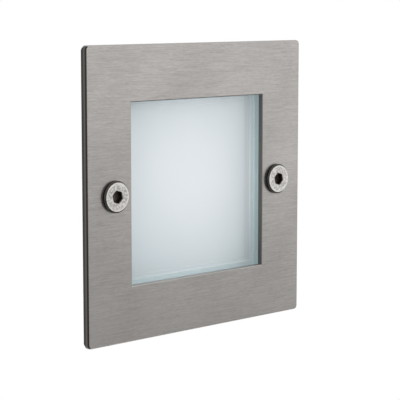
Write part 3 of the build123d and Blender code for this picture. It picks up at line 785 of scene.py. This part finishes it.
# Wiring: brown, blue and striped leads from the driver and the earthed stud to the terminal block.
# Silicone-sheathed copper through a rubber grommet. The earth lead ends in a tinned tag under a nut.
# Soft-sheened sheaths in the colours that every installer knows.
SHEATH_DEPTH_MM = 0.008
EARTH_STRIPE_MM = 3.0
EARTH_STRIPE_WAY = (0.5, 0.6, 0.62)
dress(moulded("brown_silicone", "#5c3420", "#6a3d27", 0.4, depth_mm=SHEATH_DEPTH_MM), "live_lead")
dress(moulded("blue_silicone", "#1f5fa8", "#276bb6", 0.4, depth_mm=SHEATH_DEPTH_MM), "neutral_lead")
earth_sheath = banded(
    "green_and_yellow_silicone", "#2f8a3a", "#e0cf2e", 0.4, EARTH_STRIPE_MM, EARTH_STRIPE_WAY)
dress(earth_sheath, "earth_lead")
dress(tinned_copper, "earth_tag")
dress(moulded_rubber, "lead_grommet")

# Terminal block: where the installer pushes in the three supply wires, screwed to the back of the tub.
# Pale grey polyamide with brass spring clips inside. An orange sprung button over each clip frees its wire.
# Nylon has a waxy, even sheen, and the buttons are the brightest colour behind the plate.
NYLON_GRAIN_MM = 0.6
NYLON_DEPTH_MM = 0.015
grey_polyamide = moulded("pale_grey_polyamide", "#c4c5c1", "#b9bab6", 0.45, NYLON_GRAIN_MM, NYLON_DEPTH_MM)
orange_polyamide = moulded("orange_polyamide", "#e0761d", "#d26a15", 0.4, NYLON_GRAIN_MM, NYLON_DEPTH_MM)
dress(grey_polyamide, "terminal_block")
dress(turned_brass, "terminal_contacts")
dress(orange_polyamide, "live_release_button", "neutral_release_button", "earth_release_button")
ear_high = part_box("terminal_block_screws")[1]
ear_seat = ear_high[1] - SMALL_HEAD_H
ear_x = ear_high[0] - SMALL_HEAD
ear_shells = [small_screw_rings(side * ear_x, 0, ear_seat, -1) for side in (-1, 1)]
ear_screws = skin("terminal_block_pan_screws", ear_shells, zinc_plate)
stands_for(ear_screws, "front_unit", "zinc_plated_steel", "terminal_block_screws")

# Faceplate screws: two M5 screws with a very low head and a hexagon socket, each on a thin rubber washer.
# Stainless steel, turned, with a broached socket and a rolled thread.
# The faces are paler than the plate, with turning rings drawn wider than real ones and a painted highlight at
# the rim. Chamfers, sides and sockets are painted dark, as painted shade and dark reflection.
HEAD_CHAMFER = 0.42 * MM
HEAD_HEIGHT = 0.9 * MM
HEAD_BAND = 0.3 * MM
SEAT_ROUND = 0.05 * MM
M5_RADIUS = 2.5 * MM
M5_DEPTH = 0.45 * MM
THREAD_START = 0.1 * MM
THREAD_FADE = 1.5 * MM
TIP_BEVEL = 0.6 * MM
SOCKET_FLATS = 3.0 * MM
SOCKET_DEPTH = 2.0 * MM
SOCKET_TURN = math.radians(-13)
SOCKET_CORE = 0.05
SOCKET_FLOOR = 0.97
SOCKET_FLOOR_RISE = 0.25 * MM
SOCKET_WALL_START = 0.3 * MM
MOUTH = 0.16 * MM
TURNING_MM = 0.3
TURNING_SHARE = 0.06
HEAD_CLOUD_MM = 0.6
# Painted highlight round the rim of the face.
HIGHLIGHT_RIM_FROM = 3.3 * MM
HIGHLIGHT_RIM_FULL = 3.8 * MM
HIGHLIGHT_RIM_LIFT = 0.2
TONE_LOW = 0.38
TONE_HIGH = 0.64
STEEP_LEVEL = 0.2
CHAMFER_LEVEL = 0.6
FLAT_LEVEL = 0.85
SOCKET_REACH = 2.0 * MM
SOCKET_FADE = 0.1 * MM
SUNK_FROM = 0.01 * MM
SUNK_FULL = 0.05 * MM
HEAD_BRIGHT = 0.22
HEAD_DULL = 0.42
HEAD_RELIEF = 0.3
HEAD_RELIEF_DEPTH = 0.02 * MM


def turned_stainless(x, face):
    """Turned steel: rings round the screw's axis and small clouds in its tone, and a brighter rim that is a
    painted highlight. The head's chamfer and side are painted dark, as painted shade and dark reflection.
    Below the face, within the socket's reach of the axis, the colour goes over to a dark brown, as painted
    shade in the hole."""
    material, tree, place = begin("turned_stainless_steel")
    middle = add(tree, "Mapping", {"Vector": place, "Location": (-x, -face, 0)})
    split = add(tree, "SeparateXYZ", {0: middle.outputs[0]})
    flat = add(tree, "VectorMath", {0: middle.outputs[0], 1: (1, 0, 1)}, operation="MULTIPLY")
    distance = add(tree, "VectorMath", {0: flat.outputs[0]}, operation="LENGTH")
    ring = add(tree, "Math", {
        0: distance.outputs["Value"], 1: 2 * math.pi / (TURNING_MM * MM)}, operation="MULTIPLY")
    wave = add(tree, "Math", {0: ring.outputs[0]}, operation="SINE")
    cloud = add(tree, "TexNoise", {"Vector": place, "Scale": 1 / (HEAD_CLOUD_MM * MM), "Detail": 4})
    mottle = add(tree, "Math", {
        0: wave.outputs[0], 1: TURNING_SHARE, 2: cloud.outputs["Fac"]}, operation="MULTIPLY_ADD")
    # Painted highlight: the face is lighter towards its rim.
    rim = add(tree, "MapRange", {
        "Value": distance.outputs["Value"],
        "From Min": HIGHLIGHT_RIM_FROM,
        "From Max": HIGHLIGHT_RIM_FULL,
        "To Max": HIGHLIGHT_RIM_LIFT})
    tone = add(tree, "Math", {0: mottle.outputs[0], 1: rim.outputs["Result"]}, operation="ADD")
    spread = add(tree, "MapRange", {
        "Value": tone.outputs[0], "From Min": TONE_LOW, "From Max": TONE_HIGH})
    bright = add(tree, "MixRGB", {
        "Fac": spread.outputs["Result"], "Color1": linear("#b0ada9"), "Color2": linear("#eae8e4")})
    facing = add(tree, "SeparateXYZ", {0: add(tree, "TexCoord").outputs["Normal"]})
    level = add(tree, "Math", {0: facing.outputs["Y"]}, operation="ABSOLUTE")
    # Painted shade and dark reflection on the head's chamfer and side, darker where steeper.
    slope = add(tree, "MapRange", {
        "Value": level.outputs[0], "From Min": STEEP_LEVEL, "From Max": CHAMFER_LEVEL})
    painted_dark_chamfer = add(tree, "MixRGB", {
        "Fac": slope.outputs["Result"], "Color1": linear("#211f1e"), "Color2": linear("#4a4743")})
    turned_away = add(tree, "Math", {0: level.outputs[0], 1: FLAT_LEVEL}, operation="LESS_THAN")
    on_head = add(tree, "Math", {0: split.outputs["Y"], 1: HEAD_HEIGHT}, operation="LESS_THAN")
    chamfer_and_side = add(tree, "Math", {0: turned_away.outputs[0], 1: on_head.outputs[0]}, operation="MULTIPLY")
    colour = add(tree, "MixRGB", {
        "Fac": chamfer_and_side.outputs[0], "Color1": bright.outputs["Color"], "Color2": painted_dark_chamfer.outputs["Color"]})
    # Painted shade in the socket: its walls and floor go over to a dark brown.
    near = add(tree, "MapRange", {
        "Value": distance.outputs["Value"],
        "From Min": SOCKET_REACH,
        "From Max": SOCKET_REACH + SOCKET_FADE,
        "To Min": 1,
        "To Max": 0})
    sunk = add(tree, "MapRange", {
        "Value": split.outputs["Y"], "From Min": SUNK_FROM, "From Max": SUNK_FULL})
    socket = add(tree, "Math", {0: near.outputs["Result"], 1: sunk.outputs["Result"]}, operation="MULTIPLY")
    socket_painted_shade = add(tree, "MixRGB", {
        "Fac": socket.outputs[0], "Color1": colour.outputs["Color"], "Color2": linear("#5f5952")})
    gloss = add(tree, "MapRange", {
        "Value": cloud.outputs["Fac"], "To Min": HEAD_BRIGHT, "To Max": HEAD_DULL})
    relief = add(tree, "Bump", {
        "Height": mottle.outputs[0], "Strength": HEAD_RELIEF, "Distance": HEAD_RELIEF_DEPTH})
    shader = add(tree, "BsdfPrincipled", {
        "Base Color": socket_painted_shade.outputs["Color"],
        "Metallic": 1.0,
        "Roughness": gloss.outputs["Result"],
        "Normal": relief.outputs["Normal"]})
    add(tree, "OutputMaterial", {"Surface": shader.outputs["BSDF"]})
    return material


def screw_rings(x, face, tip, head):
    """Rings of one screw, from the middle of its socket to its tip: a hexagonal hole with a drilled floor, an
    eased mouth, a flat face, a chamfer, the head's side and its seat, then the thread down to a bevelled
    end."""
    angle = around(144, SOCKET_TURN)[None]
    outline = hexagon_radius(SOCKET_FLATS, angle, SOCKET_TURN)
    floor = face + SOCKET_DEPTH
    mouth = SOCKET_FLATS / math.sqrt(3) + MOUTH
    seat = face + HEAD_HEIGHT
    socket = [
        (SOCKET_CORE * outline, floor),
        (SOCKET_FLOOR * outline, floor - SOCKET_FLOOR_RISE),
        (outline, floor - SOCKET_WALL_START),
        (outline, face + MOUTH),
        (outline + MOUTH, face),
        (np.full_like(outline, mouth + MOUTH), face),
    ]
    head_rows = [
        (head - HEAD_CHAMFER - HEAD_BAND, face),
        (head - HEAD_CHAMFER, face),
        (head, face + HEAD_CHAMFER),
        (head, seat - SEAT_ROUND),
        (head - SEAT_ROUND, seat),
        (M5_RADIUS, seat),
    ]
    run = np.arange(seat + THREAD_START, tip, M5_PITCH / THREAD_STEPS)[:, None]
    grown = np.clip((run - seat) / THREAD_FADE, 0, 1)
    bevel = np.clip(run - tip + TIP_BEVEL, 0, TIP_BEVEL)
    radius = M5_RADIUS - np.maximum(M5_DEPTH * grown * screw_thread(run, angle, M5_PITCH), bevel)
    return np.concatenate(
        [rings_about(x, 0, radius_at, depth, angle) for radius_at, depth in socket]
        + [turned(x, 0, head_rows, angle), rings_about(x, 0, radius, run, angle)])


for side in ("left", "right"):
    screw_low, screw_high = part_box(f"{side}_screw")
    head_radius = (screw_high[2] - screw_low[2]) / 2
    screw_x = (screw_low[0] + screw_high[0]) / 2
    screw_shells = [screw_rings(screw_x, screw_low[1], screw_high[1], head_radius)]
    screw_steel = turned_stainless(screw_x, screw_low[1])
    screw = skin(f"{side}_socket_screw", screw_shells, screw_steel, sharp=28)
    stands_for(screw, f"{side}_screw", "screw_stainless", f"{side}_screw")
    dress(moulded_rubber, f"{side}_sealing_washer")

# Stage: a white wall with a square hole for the box, and a pale floor below.
# To the eye, and in metal and glass, the wall is the white of the background. From behind it is transparent,
# so that the box can be looked at from the back and the sides.
WALL_REACH = 2.0
WALL_HOLE = 35.7 * MM
FLOOR_REACH = 4
FLOOR_Z = -0.45


def flat_stage(name, points, faces, material):
    """A piece of the stage from its corners."""
    mesh = bpy.data.meshes.new(name)
    mesh.from_pydata(points, [], faces)
    mesh.materials.append(material)
    piece = bpy.data.objects.new(name, mesh)
    bpy.context.scene.collection.objects.link(piece)
    return piece


def background_white(tree):
    """1 for rays from the camera, from reflections and through glass, and 0 for the light that lands."""
    path = add(tree, "LightPath")
    seen = add(tree, "Math", {
        0: path.outputs["Is Camera Ray"], 1: path.outputs["Is Glossy Ray"]}, operation="MAXIMUM")
    both = add(tree, "Math", {
        0: seen.outputs[0], 1: path.outputs["Is Transmission Ray"]}, operation="MAXIMUM")
    return both.outputs[0]


def wall_rectangle(reach, low, high):
    """Corners of an upright rectangle on the wall's face."""
    return [(-reach, 0, low), (reach, 0, low), (reach, 0, high), (-reach, 0, high)]


wall_paint = bpy.data.materials.new("white_wall_paint")
wall_paint.use_nodes = True
wall_tree = wall_paint.node_tree
wall_tree.nodes.clear()
wall_matt = add(wall_tree, "BsdfDiffuse", {"Color": linear("#e4e4e4")})
wall_white = add(wall_tree, "Emission", {"Color": (1, 1, 1, 1), "Strength": 1.0})
wall_front = add(wall_tree, "MixShader", {
    0: background_white(wall_tree), 1: wall_matt.outputs[0], 2: wall_white.outputs[0]})
wall_sides = add(wall_tree, "MixShader", {
    0: add(wall_tree, "NewGeometry").outputs["Backfacing"],
    1: wall_front.outputs[0],
    2: add(wall_tree, "BsdfTransparent").outputs[0]})
add(wall_tree, "OutputMaterial", {"Surface": wall_sides.outputs[0]})
wall_outline = wall_rectangle(WALL_REACH, FLOOR_Z, WALL_REACH)
hole_outline = wall_rectangle(WALL_HOLE, -WALL_HOLE, WALL_HOLE)
wall_faces = [(n, (n + 1) % 4, 4 + (n + 1) % 4, 4 + n) for n in range(4)]
flat_stage("wall", wall_outline + hole_outline, wall_faces, wall_paint)
floor_paint = bpy.data.materials.new("pale_floor_paint")
floor_paint.use_nodes = True
floor_tree = floor_paint.node_tree
floor_tree.nodes.clear()
floor_matt = add(floor_tree, "BsdfDiffuse", {"Color": linear("#efefed")})
add(floor_tree, "OutputMaterial", {"Surface": floor_matt.outputs[0]})
floor_points = [(x * FLOOR_REACH, y * FLOOR_REACH, FLOOR_Z) for x, y in ((-1, -1), (1, -1), (1, 1), (-1, 1))]
flat_stage("floor", floor_points, [(0, 1, 2, 3)], floor_paint)

# Light: a white studio with a soft box in front on the right, and a grey tent that only metal and glass show.
# The tent is an even pale grey, a little brighter on the right, on the left, overhead and at the floor.
# It is darker just below the middle, so that the plate's tone falls gently downwards.
DAY_STRENGTH = 0.8
TENT_RADIUS = 0.75
TENT_STEPS = 49
TENT_EVEN = {"From Min": -0.4, "From Max": 0.05, "To Min": 0.32, "To Max": 0.83}
TENT_KEY = {"From Min": 0.7, "From Max": 1.0, "To Max": 0.35}
TENT_TOP = {"From Min": 0.5, "From Max": 0.9, "To Max": 0.2}
TENT_FLOOR = {"From Min": -0.4, "From Max": -0.6, "To Max": 0.3}
TENT_SIDE = {"From Min": 0.9, "From Max": 1.0, "To Max": 0.3}
KEY_WAY = Vector((0.815, -0.509, 0.276)).normalized()
SIDE_WAY = Vector((-0.73, -0.66, -0.1)).normalized()
KEY_PLACE = Vector((0.85, -0.92, 0.35))
KEY_TARGET = Vector((0, 0, 0.15))
KEY_WIDTH = 1.3
KEY_HEIGHT = 1.0
KEY_POWER = 5.0
world = bpy.data.worlds.new("white_studio")
bpy.context.scene.world = world
world.use_nodes = True
world_tree = world.node_tree
world_tree.nodes.clear()
day = add(world_tree, "Background", {"Color": (1, 1, 1, 1), "Strength": DAY_STRENGTH})
blank = add(world_tree, "Background", {"Color": (1, 1, 1, 1), "Strength": 1.0})
sky = add(world_tree, "MixShader", {0: background_white(world_tree), 1: day.outputs[0], 2: blank.outputs[0]})
add(world_tree, "OutputWorld", {"Surface": sky.outputs[0]})

tent_cloth, tent_tree, tent_place = begin("graded_tent_cloth")
tent_way = add(tent_tree, "VectorMath", {0: tent_place}, operation="NORMALIZE").outputs[0]
tent_height = add(tent_tree, "SeparateXYZ", {0: tent_way}).outputs["Z"]
key_dot = add(tent_tree, "VectorMath", {0: tent_way, 1: KEY_WAY}, operation="DOT_PRODUCT")
side_dot = add(tent_tree, "VectorMath", {0: tent_way, 1: SIDE_WAY}, operation="DOT_PRODUCT")
toward_key = key_dot.outputs["Value"]
toward_side = side_dot.outputs["Value"]
tent_shares = []
for value, limits in ((tent_height, TENT_EVEN), (toward_key, TENT_KEY), (tent_height, TENT_TOP),
                      (tent_height, TENT_FLOOR), (toward_side, TENT_SIDE)):
    graded = add(tent_tree, "MapRange", {"Value": value, **limits}, interpolation_type="SMOOTHSTEP")
    tent_shares.append(graded.outputs["Result"])
tent_glow = tent_shares[0]
for share in tent_shares[1:]:
    tent_glow = add(tent_tree, "Math", {0: tent_glow, 1: share}, operation="ADD").outputs[0]
cloth = add(tent_tree, "Emission", {"Color": (1, 1, 1, 1), "Strength": tent_glow})
add(tent_tree, "OutputMaterial", {"Surface": cloth.outputs[0]})
quarter_turns = np.linspace(-math.pi / 2, math.pi / 2, TENT_STEPS)
tent_across = quarter_turns[None]
tent_upward = quarter_turns[:, None]
tent_points = TENT_RADIUS * np.stack([
    np.cos(tent_upward) * np.sin(tent_across),
    -np.cos(tent_upward) * np.cos(tent_across),
    np.sin(tent_upward) + 0 * tent_across], axis=-1)
tent_index = np.arange(TENT_STEPS ** 2).reshape(TENT_STEPS, TENT_STEPS)
tent_faces = np.stack([
    tent_index[:-1, :-1], tent_index[:-1, 1:], tent_index[1:, 1:], tent_index[1:, :-1]], axis=-1)
tent = flat_stage("tent", tent_points.reshape(-1, 3).tolist(), tent_faces.reshape(-1, 4).tolist(), tent_cloth)
tent.visible_camera = False
tent.visible_diffuse = False
tent.visible_shadow = False

key_light = bpy.data.lights.new("key_soft_box", "AREA")
key_light.shape = "RECTANGLE"
key_light.size = KEY_WIDTH
key_light.size_y = KEY_HEIGHT
key_light.energy = KEY_POWER
key = bpy.data.objects.new("key_soft_box", key_light)
key.location = KEY_PLACE
key.rotation_euler = (KEY_TARGET - KEY_PLACE).to_track_quat("-Z", "Y").to_euler()
key.visible_glossy = False
bpy.context.scene.collection.objects.link(key)

# Camera: the photograph's view, from the left and a little above, worked out from the plate's four corners.
LENS = 135.97
CAMERA_YAW = math.radians(43.01)
CAMERA_PITCH = math.radians(7.53)
CAMERA_PLACE = np.array([-284.2, -307.2, 51.5]) * MM
bpy.context.scene.view_settings.view_transform = "Standard"
lens = bpy.data.cameras.new("camera")
lens.lens = LENS
camera = bpy.data.objects.new("camera", lens)
bpy.context.scene.collection.objects.link(camera)
camera.location = CAMERA_PLACE
forward = Vector((math.sin(CAMERA_YAW) * math.cos(CAMERA_PITCH),
                  math.cos(CAMERA_YAW) * math.cos(CAMERA_PITCH),
                  -math.sin(CAMERA_PITCH)))
camera.rotation_euler = forward.to_track_quat("-Z", "Y").to_euler()
bpy.context.scene.camera = camera
